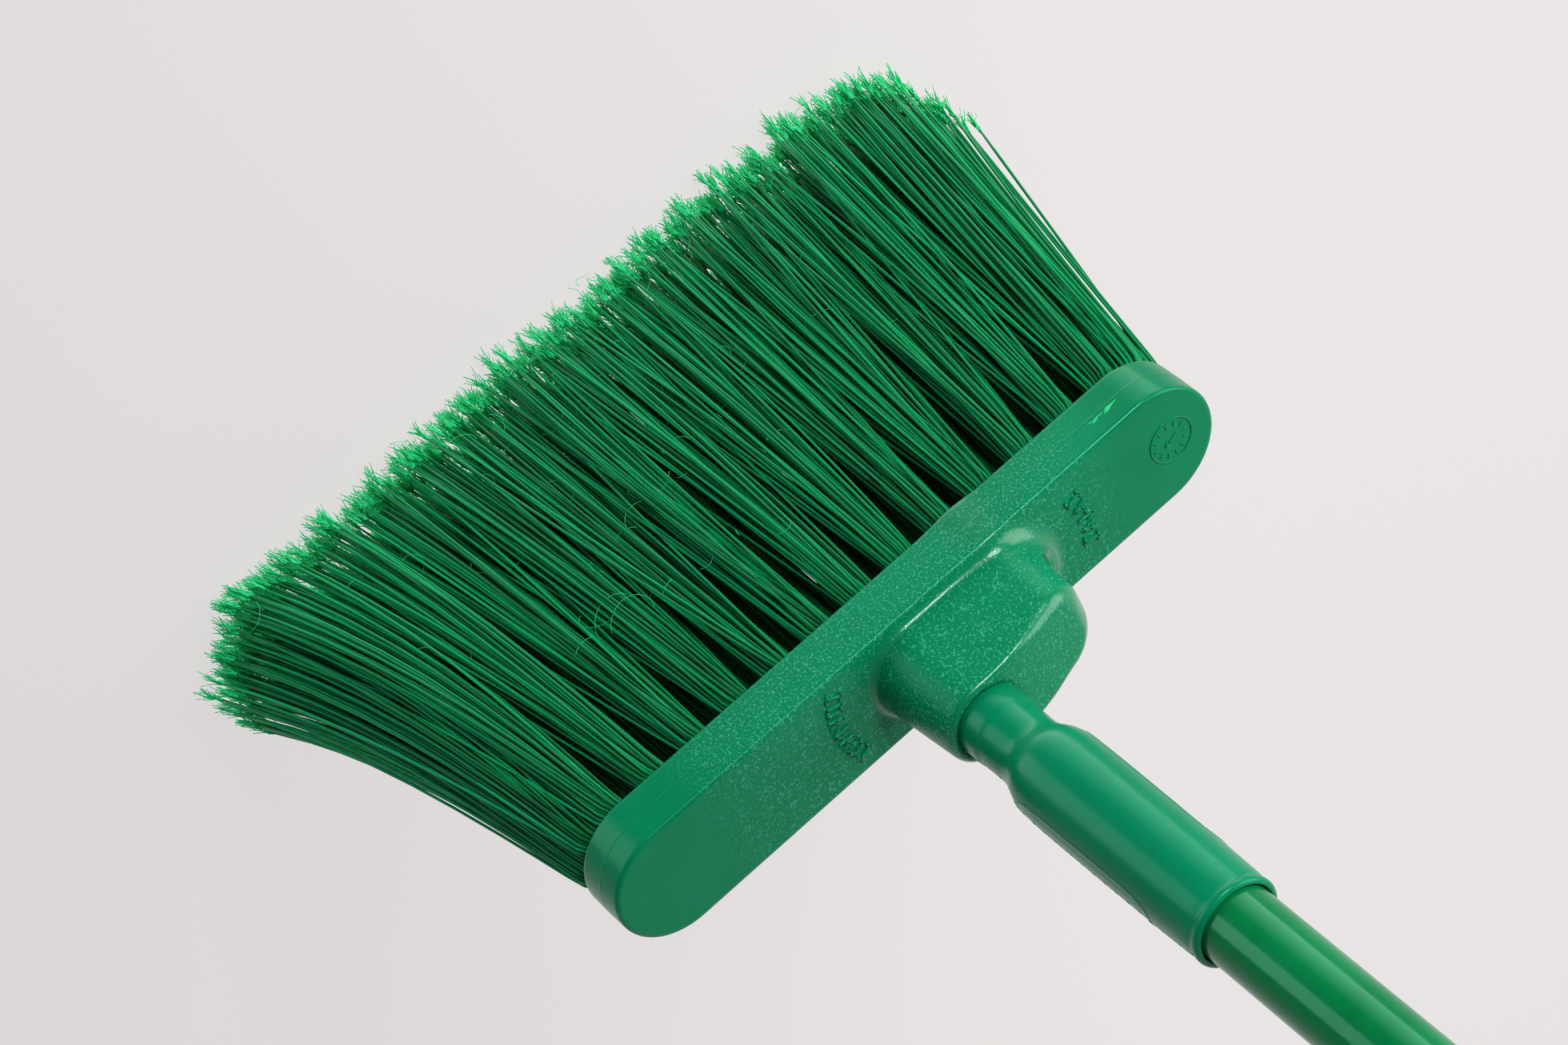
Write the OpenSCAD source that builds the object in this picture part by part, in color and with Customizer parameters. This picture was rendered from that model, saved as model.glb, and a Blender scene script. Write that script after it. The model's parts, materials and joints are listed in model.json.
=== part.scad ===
// Upright and angle broom: a moulded head block with two handle sockets, 46 stapled tufts of
// flagged filament, and a screw-in tubular handle with a moulded threaded tip and a hanging cap.
// Millimetres. Origin on the sweeping plane under the middle of the head; +Z up the handle,
// X along the head, with the slanting angle socket at its -X end.

/* [Head block] */
// Length of the head block along X
block_len = 227; // [190:1:260]
// Width of the head block; its ends are half circles of this diameter
block_w = 42; // [40:1:50]
// Thickness of the slab that holds the tufts
block_t = 17.5; // [16:0.5:24]

/* [Socket boss] */
// Height of the boss above the slab, at the upright socket
boss_h = 33; // [30:1:40]
// Distance between the boss's two round ends, along X
boss_span = 31; // [29:1:40]
// Radius of the boss's ends at its foot
boss_r = 16.8; // [16:0.2:18]
// How much smaller that radius is at the top, from the mould's draft
boss_draft = 2.3; // [1:0.1:3]
// Slope of the facet that falls away from the upright socket, in degrees
facet_slope = 15; // [10:1:18]
// Height of the skirt that stands for the fillet round the boss's foot
skirt = 3; // [1:0.5:4]

/* [Sockets and thread] */
// Nominal radius of the 3/4 inch broom thread, taken at the socket wall
thread_r = 9.5; // [9.5:0.05:9.6]
// Radial clearance of the tip in its socket
thread_clear = 0.05; // [0.03:0.01:0.09]
// Length of the threaded spigot
thread_len = 25; // [22:1:26]
// Lean of the angle socket away from the upright one, in degrees
angle_lean = 60; // [56:1:66]
// Depth of the angle socket along its axis, from the middle of its mouth
angle_depth = 23; // [20:1:24]
// Height of the middle of the angle socket's mouth above the slab
angle_mouth_z = 13.2; // [12.5:0.1:14]

/* [Tufts] */
// Height of the slab's underside above the sweeping plane
trim = 166.5; // [120:0.5:200]
// Spacing of the tufts along a row
tuft_pitch = 15.5; // [14.5:0.1:16]
// Distance of the front and back rows from the middle row
row_gap = 13.5; // [12.5:0.1:14]
// Radius of a tuft where it leaves the block
tuft_r = 3.3; // [2.5:0.1:3.6]
// Radius of the same tuft at its tip
tuft_tip_r = 8.3; // [6:0.1:8.8]
// Sideways lean of the outermost tufts, as rise over run
fan_x = 0.21; // [0.1:0.01:0.24]
// Lean of the front and back rows, as rise over run
fan_y = 0.055; // [0.04:0.005:0.08]
// Depth of the tuft holes
hole_depth = 9; // [7:0.5:9.5]
// Radius of the trimmed corners of the sweeping edge
trim_corner = 30; // [15:1:40]

/* [Handle] */
// Length of the handle, from the end of its thread to the top of its cap
handle_len = 1219; // [800:1:1500]
// Radius of the tube
tube_r = 11.9; // [11:0.05:12.7]
// Wall of the tube
tube_wall = 0.7; // [0.6:0.1:1.2]
// Radius of the threaded tip's collar at its widest
collar_r = 14.8; // [14:0.1:16]
// Height of the collar's end above the boss
collar_h = 106.6; // [90:0.2:120]
// Radius of the hole in the hanging cap
hang_r = 4; // [3:0.5:4.5]

/* [Hidden] */
$fn = 64;
eps = 0.01;
big = 400;

green = [0.02, 0.50, 0.33];
bristle_green = [0.02, 0.42, 0.22];
tube_green = [0.0, 0.47, 0.30];
steel = [0.75, 0.76, 0.78];

// Heights
slab_top = trim + block_t;
seat_z = slab_top + boss_h;
spigot_z = seat_z - thread_len;
collar_z = seat_z + collar_h;
top_z = spigot_z + handle_len;

// Head block
end_x = (block_len - block_w) / 2;
facet_x = -15;
end_draft = boss_draft * angle_mouth_z / boss_h;
mouth_x = -boss_span - boss_r + end_draft;
socket_floor = 2;

// Tufts: the rows, and five tufts round each end
row_half = floor(end_x / tuft_pitch + 0.1);
end_ring_r = 14;
end_ring_step = 45;
inner_end_x = end_x + 3.4;
tip_reach = 4;
tip_share = 0.62;
tuft_gap = 0.15;

// Staples, which hold each folded tuft in its hole
staple_w = 6.2;
staple_h = 2;
staple_t = 0.5;
staple_down = 3.4;
staple_gap = 0.05;

// Handle
tube_z = seat_z + 36;
socket_gap = 0.1;
core_r = 4;
core_z = spigot_z + 6;
core_top = tube_z - 3;
cap_wall = 1.5;
cap_sleeve = 28;
cap_head = 34;
hang_z = top_z - 15;
tube_top = top_z - cap_head;

// A stadium's outline, exact round ends
module stadium(len, r) {
    square([len, 2 * r], center = true);
    for (s = [-1, 1]) translate([s * len / 2, 0]) circle(r);
}

// A boss with drafted walls: two cones and the wedge-sided wall between them
module drafted_boss(r1, r2, h, span) {
    for (x = [0, -span]) translate([x, 0, 0]) cylinder(r1 = r1, r2 = r2, h = h);
    rotate([90, 0, -90]) linear_extrude(span)
        polygon([[-r1, 0], [r1, 0], [r2, h], [-r2, h]]);
}

// Carries a child from the slab's underside at root to the tuft's own axis
module on_tuft(root) {
    lean_x = fan_x * root[0] / (end_x + end_ring_r);
    lean_y = fan_y * root[1] / row_gap;
    tilt = atan(sqrt(lean_x * lean_x + lean_y * lean_y));
    heading = atan2(lean_y, lean_x);
    translate([root[0], root[1], trim]) rotate([0, 0, heading]) rotate([0, -tilt, 0])
        rotate([0, 0, -heading]) children();
}

// The radius to which a tuft can spread before it meets its nearest neighbour
function tip_r(root) = min(tuft_tip_r, tip_share * min([for (other = all_roots())
    if (norm(other - root) > eps) norm(other - root)]));

// One tuft: straight in its hole, then spreading to its tip
module tuft(tip_r) {
    rotate_extrude($fn = 32) polygon([
        [0, hole_depth - tuft_gap], [tuft_r, hole_depth - tuft_gap], [tuft_r, 0],
        [tip_r, -trim - tip_reach], [0, -trim - tip_reach]]);
}

module staple(grow) {
    translate([0, 0, hole_depth - staple_down])
        cube([staple_w + 2 * grow, staple_t + 2 * grow, staple_h + 2 * grow], center = true);
}

// What the trimming cut leaves: flat underneath, with rounded corners at both ends
module trimmed_space() {
    half = end_x + end_ring_r + fan_x * trim;
    rotate([90, 0, 0]) linear_extrude(big, center = true) {
        translate([-half, 0]) square([2 * half, slab_top]);
        for (s = [-1, 1]) translate([s * half, trim_corner]) circle(trim_corner);
        translate([-half - 2 * trim_corner, trim_corner])
            square([2 * half + 4 * trim_corner, slab_top]);
    }
}

module tuft_group(roots) {
    intersection() {
        trimmed_space();
        for (root = roots) on_tuft(root) difference() {
            tuft(tip_r(root));
            staple(staple_gap);
        }
    }
}

module staple_group(roots) {
    for (root = roots) on_tuft(root) staple(0);
}

// Where the tufts stand
function outer_row(side) = [for (k = [-row_half : row_half]) [k * tuft_pitch, side * row_gap]];
function middle_row() = [for (k = [-row_half : row_half - 1]) [(k + 0.5) * tuft_pitch, 0]];
function end_ring(side) = concat(
    [for (a = [-1, 0, 1]) [side * (end_x + end_ring_r * cos(a * end_ring_step)),
                           end_ring_r * sin(a * end_ring_step)]],
    [[side * inner_end_x, 0]]);
function all_roots() = concat(outer_row(-1), middle_row(), outer_row(1),
                              end_ring(-1), end_ring(1));

module head_block() {
    color(green) difference() {
        union() {
            translate([0, 0, trim]) linear_extrude(block_t) stadium(2 * end_x, block_w / 2);
            translate([0, 0, slab_top - eps]) difference() {
                drafted_boss(boss_r, boss_r - boss_draft, boss_h + eps, boss_span);
                translate([facet_x, 0, boss_h + eps]) rotate([0, -facet_slope, 0])
                    translate([-big, -big / 2, 0]) cube([big, big, big]);
            }
            translate([0, 0, slab_top - eps])
                drafted_boss(boss_r + skirt, boss_r, skirt, boss_span);
        }
        // upright socket
        translate([0, 0, spigot_z - socket_floor])
            cylinder(r = thread_r, h = thread_len + socket_floor + 1);
        // angle socket
        translate([mouth_x, 0, slab_top + angle_mouth_z]) rotate([0, -angle_lean, 0])
            translate([0, 0, -angle_depth]) cylinder(r = thread_r, h = angle_depth + 20);
        // tuft holes
        for (root = all_roots()) on_tuft(root) translate([0, 0, -5])
            cylinder(r = tuft_r + tuft_gap, h = hole_depth + 5, $fn = 32);
    }
}

module tufts_front_row() { color(bristle_green) tuft_group(outer_row(-1)); }
module tufts_middle_row() { color(bristle_green) tuft_group(middle_row()); }
module tufts_back_row() { color(bristle_green) tuft_group(outer_row(1)); }
module tufts_left_end() { color(bristle_green) tuft_group(end_ring(1)); }
module tufts_right_end() { color(bristle_green) tuft_group(end_ring(-1)); }
module staples_front_row() { color(steel) staple_group(outer_row(-1)); }
module staples_middle_row() { color(steel) staple_group(middle_row()); }
module staples_back_row() { color(steel) staple_group(outer_row(1)); }
module staples_left_end() { color(steel) staple_group(end_ring(1)); }
module staples_right_end() { color(steel) staple_group(end_ring(-1)); }

// Spigot, waisted neck and collar in one moulding, bored for the tube and for its core
module threaded_tip() {
    neck_r = 11.3;
    waist_r = 11;
    lip = 1.2;
    color(green) difference() {
        rotate_extrude() polygon([
            [0, spigot_z], [thread_r - thread_clear - 1, spigot_z],
            [thread_r - thread_clear, spigot_z + 1], [thread_r - thread_clear, seat_z],
            [neck_r, seat_z], [neck_r, seat_z + 8], [waist_r, seat_z + 18.5],
            [collar_r - 2.5, seat_z + 23], [collar_r - 0.7, seat_z + 27.7],
            [collar_r - 0.2, seat_z + 32.3], [collar_r, seat_z + 44],
            [collar_r - 0.1, seat_z + 68], [collar_r - 0.6, seat_z + 98],
            [collar_r - 0.7, collar_z - lip], [collar_r - 0.7 - lip, collar_z], [0, collar_z]]);
        translate([0, 0, tube_z - socket_gap])
            cylinder(r = tube_r + socket_gap, h = collar_z - tube_z + 1);
        translate([0, 0, core_z - socket_gap])
            cylinder(r = core_r + thread_clear, h = core_top - core_z + 2 * socket_gap);
    }
}

module tip_core() {
    color(steel) translate([0, 0, core_z]) cylinder(r = core_r, h = core_top - core_z);
}

module handle_tube() {
    color(tube_green) translate([0, 0, tube_z]) difference() {
        cylinder(r = tube_r, h = tube_top - tube_z);
        translate([0, 0, -1]) cylinder(r = tube_r - tube_wall, h = tube_top - tube_z + 2);
    }
}

// A sleeve over the tube's end with a domed head, drilled across for a hook
module hanging_cap() {
    cap_r = tube_r + cap_wall;
    dome = 8;
    color(green) difference() {
        rotate_extrude() {
            translate([0, tube_top - cap_sleeve])
                square([cap_r, cap_sleeve + cap_head - dome]);
            translate([0, top_z - dome - eps]) square([cap_r - dome, dome + eps]);
            translate([cap_r - dome, top_z - dome]) intersection() {
                circle(dome);
                translate([-eps, -eps]) square(dome + 1);
            }
        }
        translate([0, 0, tube_top - cap_sleeve - 1])
            cylinder(r = tube_r + socket_gap, h = cap_sleeve + 1 + socket_gap);
        translate([0, 0, hang_z]) rotate([90, 0, 0])
            cylinder(r = hang_r, h = 4 * cap_r, center = true);
    }
}

head_block();
tufts_front_row();
tufts_middle_row();
tufts_back_row();
tufts_left_end();
tufts_right_end();
staples_front_row();
staples_middle_row();
staples_back_row();
staples_left_end();
staples_right_end();
threaded_tip();
tip_core();
handle_tube();
hanging_cap();
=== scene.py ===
"""Looks of an upright and angle broom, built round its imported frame. Lengths are in metres."""

import json
import math

import bpy
import numpy as np
from mathutils import Matrix, Vector


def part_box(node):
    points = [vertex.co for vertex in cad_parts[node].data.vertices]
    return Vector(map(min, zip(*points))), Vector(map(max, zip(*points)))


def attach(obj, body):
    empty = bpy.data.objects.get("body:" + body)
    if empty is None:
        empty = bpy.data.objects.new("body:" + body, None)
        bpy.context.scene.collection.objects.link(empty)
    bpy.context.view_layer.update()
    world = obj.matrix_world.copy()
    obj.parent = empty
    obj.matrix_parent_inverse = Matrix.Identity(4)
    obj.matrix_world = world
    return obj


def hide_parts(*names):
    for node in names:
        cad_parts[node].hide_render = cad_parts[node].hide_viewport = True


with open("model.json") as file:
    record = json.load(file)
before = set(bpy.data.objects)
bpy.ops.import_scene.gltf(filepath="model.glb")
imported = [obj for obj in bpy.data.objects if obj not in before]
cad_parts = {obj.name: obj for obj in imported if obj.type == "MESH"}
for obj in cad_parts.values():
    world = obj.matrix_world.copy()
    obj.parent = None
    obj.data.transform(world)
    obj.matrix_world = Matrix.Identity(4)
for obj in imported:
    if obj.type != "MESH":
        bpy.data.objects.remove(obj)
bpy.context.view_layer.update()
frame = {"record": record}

MM = 0.001
rng = np.random.default_rng(12)

# ---------------------------------------------------------------- sizes taken from the frame
block_low, block_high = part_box("head_block")
tip_low, tip_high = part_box("threaded_tip")
tube_low, tube_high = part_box("handle_tube")
cap_low, cap_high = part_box("hanging_cap")
mounts = {m["name"]: m for m in frame["record"]["mounts"]}
angle_socket, hang_hole = mounts["angle_socket"], mounts["hang_hole"]

under_z = block_low.z
seat_z = block_high.z
half_w = block_high.y
end_x = block_high.x - half_w
tube_r = tube_high.x

# ---------------------------------------------------------------- sizes of the part itself
slab_top = under_z + 17.5 * MM
slab_draft = 0.012
slab_edge = 1 * MM
under_edge = 0.8 * MM
part_z = under_z + 9 * MM  # the height of the block's parting line
boss_r = 16.8 * MM
boss_span = 31 * MM
boss_draft = 2.3 * MM
boss_corner = 11.5 * MM
boss_end_slope = 4.5 * MM
boss_h = seat_z - slab_top
facet_x = -15 * MM
facet_slope = math.radians(15)
facet_blend = 3 * MM
seat_recess_r = 12.1 * MM
seat_recess = 0.8 * MM
thread_pitch = 5.08 * MM
male_root, male_crest = 8.3 * MM, 9.45 * MM
female_crest, female_root = 8.5 * MM, 9.75 * MM
tuft_pitch = 15.5 * MM
row_gap = 13.5 * MM
tuft_r = 3.3 * MM
hole_depth = 9 * MM
end_ring_r = 14 * MM
end_tuft_x = 3.4 * MM
lean_x, lean_y = 0.21, 0.055  # the outermost holes' slopes along the block and across it
tube_wall = 0.7 * MM


def smoothstep(low, high, value):
    t = np.clip((value - low) / (high - low), 0, 1)
    return t * t * (3 - 2 * t)


# ---------------------------------------------------------------- camera
def place_camera():
    """The photograph's view: from the front, a little to the right and well above, rolled over."""
    aim = Vector((-5.7 * MM, 0, 108.9 * MM))
    azimuth, elevation, roll = (math.radians(a) for a in (13.95, 41.6, 129.54))
    distance, focal_length = 1.2846, 99.5
    back = Vector((math.sin(azimuth) * math.cos(elevation),
                   -math.cos(azimuth) * math.cos(elevation), math.sin(elevation)))
    level_right = (-back).cross(Vector((0, 0, 1))).normalized()
    level_up = level_right.cross(-back)
    right = math.cos(roll) * level_right + math.sin(roll) * level_up
    up = math.cos(roll) * level_up - math.sin(roll) * level_right
    camera = bpy.data.objects.new("camera", bpy.data.cameras.new("camera"))
    bpy.context.scene.collection.objects.link(camera)
    camera.matrix_world = Matrix.Translation(aim + distance * back) @ Matrix(
        (right, up, back)).transposed().to_4x4()
    camera.data.lens = focal_length
    camera.data.clip_start, camera.data.clip_end = 0.05, 50
    bpy.context.scene.camera = camera


place_camera()


# ---------------------------------------------------------------- meshes from arrays
def link_mesh(name, points, loops, sizes, attributes=None):
    """A smooth-shaded mesh object from points, the faces' corners and each face's corner count."""
    mesh = bpy.data.meshes.new(name)
    mesh.vertices.add(len(points))
    mesh.vertices.foreach_set("co", np.asarray(points, np.float32).ravel())
    mesh.loops.add(len(loops))
    mesh.loops.foreach_set("vertex_index", np.asarray(loops, np.int32))
    mesh.polygons.add(len(sizes))
    starts = np.concatenate(([0], np.cumsum(sizes)[:-1]))
    mesh.polygons.foreach_set("loop_start", starts.astype(np.int32))
    mesh.update(calc_edges=True)
    mesh.validate()
    mesh.shade_smooth()
    for key, values in (attributes or {}).items():
        mesh.attributes.new(key, "FLOAT", "POINT").data.foreach_set(
            "value", np.asarray(values, np.float32).ravel())
    made = bpy.data.objects.new(name, mesh)
    bpy.context.scene.collection.objects.link(made)
    return made


def strip_quads(rows, columns):
    """Corners of the quads between rows of a grid of points, wrapping round its columns."""
    i, j = np.meshgrid(np.arange(rows - 1), np.arange(columns), indexing="ij")
    k = (j + 1) % columns
    return np.stack([i * columns + j, i * columns + k, (i + 1) * columns + k,
                     (i + 1) * columns + j], -1).reshape(-1, 4)


def tubes(name, lines, radii, sides, shade):
    """Closed tubes along many centrelines at once: lines (n, m, 3), radii (n, m), shade (n).
    Their points carry how far along the tube they are ("reach") and its shade ("tint")."""
    n, m, _ = lines.shape
    along = np.gradient(lines, axis=1)
    along /= np.linalg.norm(along, axis=2, keepdims=True)
    side = np.cross(along, (0.3, 1, 0.2))
    side /= np.linalg.norm(side, axis=2, keepdims=True)
    other = np.cross(along, side)
    turn = np.arange(sides) * 2 * math.pi / sides
    ring = (np.cos(turn)[:, None] * side[:, :, None] + np.sin(turn)[:, None] * other[:, :, None])
    points = lines[:, :, None] + ring * radii[:, :, None, None]
    first = (np.arange(n) * m * sides)[:, None, None]
    quads = (strip_quads(m, sides)[None] + first).reshape(-1, 4)
    starts = (first[:, 0] + np.arange(sides)[::-1]).reshape(-1, sides)
    ends = (first[:, 0] + (m - 1) * sides + np.arange(sides)).reshape(-1, sides)
    loops = np.concatenate([quads.ravel(), starts.ravel(), ends.ravel()])
    sizes = np.concatenate([np.full(len(quads), 4), np.full(2 * n, sides)])
    reach = np.broadcast_to(np.linspace(0, 1, m)[None, :, None], (n, m, sides))
    tint = np.broadcast_to(shade[:, None, None], (n, m, sides))
    return link_mesh(name, points.reshape(-1, 3), loops, sizes, {"reach": reach, "tint": tint})


def lathe(name, profile, sides, shape=None, centre_ends=True):
    """A solid of revolution from (radius, height) rows, with shape(turn, r, z) moving its radii.
    A profile that starts and ends on the axis is closed by fans; any other one closes on itself."""
    profile = np.asarray(profile, float)
    turn = np.arange(sides) * 2 * math.pi / sides
    r = np.repeat(profile[:, :1], sides, 1)
    z = np.repeat(profile[:, 1:], sides, 1)
    if shape:
        r = shape(turn[None], r, z)
    points = np.stack([r * np.cos(turn), r * np.sin(turn), z], -1).reshape(-1, 3)
    rows = len(profile)
    quads = strip_quads(rows, sides)
    if not centre_ends:
        j = np.arange(sides)
        k = (j + 1) % sides
        seam = np.stack([(rows - 1) * sides + j, (rows - 1) * sides + k, k, j], -1)
        quads = np.concatenate([quads, seam])
        return link_mesh(name, points, quads.ravel(), np.full(len(quads), 4))
    bottom, top = len(points), len(points) + 1
    points = np.concatenate([points, [[0, 0, profile[0, 1]], [0, 0, profile[-1, 1]]]])
    j = np.arange(sides)
    k = (j + 1) % sides
    last = (rows - 1) * sides
    fans = np.concatenate([np.stack([np.full(sides, bottom), k, j], -1),
                           np.stack([np.full(sides, top), last + j, last + k], -1)])
    loops = np.concatenate([quads.ravel(), fans.ravel()])
    sizes = np.concatenate([np.full(len(quads), 4), np.full(len(fans), 3)])
    return link_mesh(name, points, loops, sizes)


# ---------------------------------------------------------------- solids from distance fields
def both(a, b, r):
    """Where both distances are inside, with the edge between them rounded to radius r."""
    a, b = a + r, b + r
    return np.minimum(np.maximum(a, b), 0) + np.hypot(np.maximum(a, 0), np.maximum(b, 0)) - r


def either(a, b, r):
    """Where either distance is inside, with a fillet of radius r between them."""
    return -both(-a, -b, r)


def settle(field, points, rounds):
    """Moves points onto the surface where the field is zero, by Newton's steps along its slope."""
    h, longest, least_slope = 0.02 * MM, 0.4 * MM, 0.5
    for _ in range(rounds):
        value = field(*points.T)
        slope = np.stack([(field(*(points + h * e).T) - field(*(points - h * e).T)) / (2 * h)
                          for e in np.eye(3)], -1)
        step = value / np.maximum((slope ** 2).sum(-1), least_slope ** 2)
        points = points - np.clip(step, -longest, longest)[:, None] * slope
    return points


def field_mesh(name, field, low, high, step):
    """A surface net over the zero level of a distance field, on a grid of the given step."""
    axes = [np.arange(a - 2 * step, b + 3 * step, step) for a, b in zip(low, high)]
    value = field(axes[0][:, None, None], axes[1][None, :, None], axes[2][None, None, :])
    value = np.ascontiguousarray(value, np.float64)
    inside = value < 0
    shape = [s - 1 for s in value.shape]
    # each cell's point is the mean of where the surface crosses the cell's edges
    total, count = np.zeros(shape + [3]), np.zeros(shape)
    for axis in range(3):
        lead = [slice(None)] * 3
        lag = [slice(None)] * 3
        lead[axis], lag[axis] = slice(1, None), slice(None, -1)
        a, b = value[tuple(lag)], value[tuple(lead)]
        cross = (a < 0) != (b < 0)
        share = np.where(cross, a / np.where(cross, a - b, 1), 0)
        others = [k for k in range(3) if k != axis]
        for p in (0, 1):
            for q in (0, 1):
                cut = [slice(None)] * 3
                for k, s in zip(others, (p, q)):
                    cut[k] = slice(s, s + shape[k])
                hit = cross[tuple(cut)]
                count += hit
                total[..., axis] += np.where(hit, share[tuple(cut)], 0)
                for k, s in zip(others, (p, q)):
                    total[..., k] += np.where(hit, s, 0)
    active = count > 0
    number = np.full(shape, -1, np.int64)
    number[active] = np.arange(active.sum())
    corner = np.stack(np.nonzero(active), -1)
    local = total[active] / count[active][:, None]
    points = np.array([ax[0] for ax in axes]) + (corner + local) * step
    # each grid edge that the surface crosses gives a face between its four cells
    quads = []
    for axis in range(3):
        u, v = (axis + 1) % 3, (axis + 2) % 3
        lead = [slice(1, -1)] * 3
        lag = [slice(1, -1)] * 3
        lead[axis], lag[axis] = slice(1, None), slice(None, -1)
        a, b = inside[tuple(lag)], inside[tuple(lead)]
        at = np.stack(np.nonzero(a != b), -1)
        out = a[tuple(at.T)]
        base = at.copy()
        base[:, u] += 1
        base[:, v] += 1

        def cell(du, dv):
            c = base.copy()
            c[:, u] -= du
            c[:, v] -= dv
            return number[tuple(c.T)]

        quad = np.stack([cell(1, 1), cell(0, 1), cell(0, 0), cell(1, 0)], -1)
        quads.append(np.where(out[:, None], quad, quad[:, ::-1]))
    quads = np.concatenate(quads)
    return link_mesh(name, settle(field, points, 3), quads.ravel(), np.full(len(quads), 4))


# ---------------------------------------------------------------- threads
def thread_height(turn, z):
    """From 0 in a right-hand thread's groove to 1 on its crest."""
    groove, crest = 0.14, 0.34
    phase = np.mod((z - seat_z) / thread_pitch - turn / (2 * math.pi), 1)
    return smoothstep(groove, crest, phase) * (1 - smoothstep(1 - crest, 1 - groove, phase))


def socket_radius(turn, z):
    """Radius of a threaded socket's wall, which fills the handle's groove."""
    return female_crest + (female_root - female_crest) * thread_height(turn, z)


# ---------------------------------------------------------------- where the tufts stand
def tuft_groups():
    """The middle of each tuft hole's mouth, by row or end."""
    count = int(end_x / tuft_pitch + 0.1)
    outer = [k * tuft_pitch for k in range(-count, count + 1)]
    groups = {
        "front_row": [(x, -row_gap) for x in outer],
        "middle_row": [(x + tuft_pitch / 2, 0) for x in outer[:-1]],
        "back_row": [(x, row_gap) for x in outer],
    }
    for name, side in (("left_end", 1), ("right_end", -1)):
        ring = [(side * (end_x + end_ring_r * math.cos(a)), end_ring_r * math.sin(a))
                for a in (-math.pi / 4, 0, math.pi / 4)]
        groups[name] = ring + [(side * (end_x + end_tuft_x), 0)]
    return groups


tufts = tuft_groups()


def hole_axis(root, z):
    """Where a tuft hole's axis is at height z."""
    rise = under_z - z
    return (root[0] + lean_x * root[0] / (end_x + end_ring_r) * rise,
            root[1] + lean_y * root[1] / row_gap * rise)


# ---------------------------------------------------------------- head block
socket_axis = Vector(angle_socket["axis"])
socket_point = Vector(angle_socket["pos_m"])


def slab_side(x, y, z):
    """The slab's round-ended wall, drafted both ways from its parting line."""
    width = half_w - slab_draft * abs(z - part_z)
    return np.hypot(np.maximum(abs(x) - end_x, 0), y) - width


def slab_field(x, y, z):
    body = both(slab_side(x, y, z), z - slab_top, slab_edge)
    return both(body, under_z - z, under_edge)


def boss_wall(x, y, z):
    """The boss's drafted wall, squared towards its -X end."""
    rise = np.clip((z - slab_top) / boss_h, 0, 1)
    squared = smoothstep(-boss_span / 2, -boss_span, x) * rise
    corner = boss_r + (boss_corner - boss_r) * squared
    centre_x = np.clip(x, -boss_span - boss_r + corner + boss_end_slope * squared, 0)
    wall = np.hypot(x - centre_x, np.maximum(abs(y) - boss_r + corner, 0)) - corner
    return wall + boss_draft * (z - slab_top) / boss_h


def boss_roof(x, z):
    """The boss's flat top and the facet that falls away from it."""
    facet = (z - seat_z) * math.cos(facet_slope) - (x - facet_x) * math.sin(facet_slope)
    return both(z - seat_z, facet, facet_blend)


def roof_edge(x):
    """Radius of the rounded edge round the boss's top."""
    return 1.6 * MM + 2.8 * MM * smoothstep(-12 * MM, -34 * MM, x)


def foot_fillet(x):
    """Radius of the fillet round the boss's foot."""
    return 2.6 * MM + 4.2 * MM * smoothstep(-16 * MM, -42 * MM, x)


def boss_field(x, y, z):
    return both(boss_wall(x, y, z), boss_roof(x, z), roof_edge(x))


def upright_socket_field(x, y, z):
    """The threaded bore that the handle stands in, with the shallow recess at its mouth."""
    r = np.hypot(x, y)
    turn = np.arctan2(y, x)
    wall = r - socket_radius(turn, z)
    bore = both(wall, tip_low.z - 2 * MM - z, 0.5 * MM)
    mouth = both(r - seat_recess_r, seat_z - seat_recess - z, 0.2 * MM)
    return np.minimum(bore, mouth)


def angle_socket_field(x, y, z):
    """The same threaded bore along the angle socket's own axis."""
    behind = 9.5 * MM
    px, py, pz = x - socket_point.x, y - socket_point.y, z - socket_point.z
    along = px * socket_axis.x + py * socket_axis.y + pz * socket_axis.z
    ex = px - along * socket_axis.x
    ez = pz - along * socket_axis.z
    across = ex * socket_axis.z - ez * socket_axis.x
    r = np.hypot(across, py)
    wall = r - socket_radius(np.arctan2(py, across), along + seat_z)
    return both(wall, -behind - along, 0.5 * MM)


def block_field(x, y, z):
    clearance = 0.15 * MM
    shape = either(slab_field(x, y, z), boss_field(x, y, z), foot_fillet(x))
    shape = both(shape, -upright_socket_field(x, y, z), 0.25 * MM)
    shape = both(shape, -angle_socket_field(x, y, z), 0.5 * MM)
    holes = np.full(np.broadcast(x, y, z).shape, 1.0)
    for roots in tufts.values():
        for root in roots:
            ax, ay = hole_axis(root, z)
            hole = np.hypot(x - ax, y - ay) - tuft_r - clearance
            holes = np.minimum(holes, hole)
    holes = both(holes, z - under_z - hole_depth, 0.3 * MM)
    return both(shape, -holes, 0.25 * MM)


def polish(x, y, z):
    """1 on the rounded edges and fillets, which the grain doesn't reach, and 0 on the faces.
    An edge is where both of its faces are near, measured in its own radius."""
    full, faded, on_slab = 0.4, 1.1, 0.35
    wall, roof = boss_wall(x, y, z), boss_roof(x, z)
    rounds = ((1, slab_field(x, y, z), wall, foot_fillet(x)), (1, wall, roof, roof_edge(x)),
              (on_slab, slab_side(x, y, z), z - slab_top, slab_edge))
    return np.max([share * (1 - smoothstep(full, faded, np.maximum(abs(a), abs(b)) / r))
                   for share, a, b, r in rounds], 0)


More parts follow.
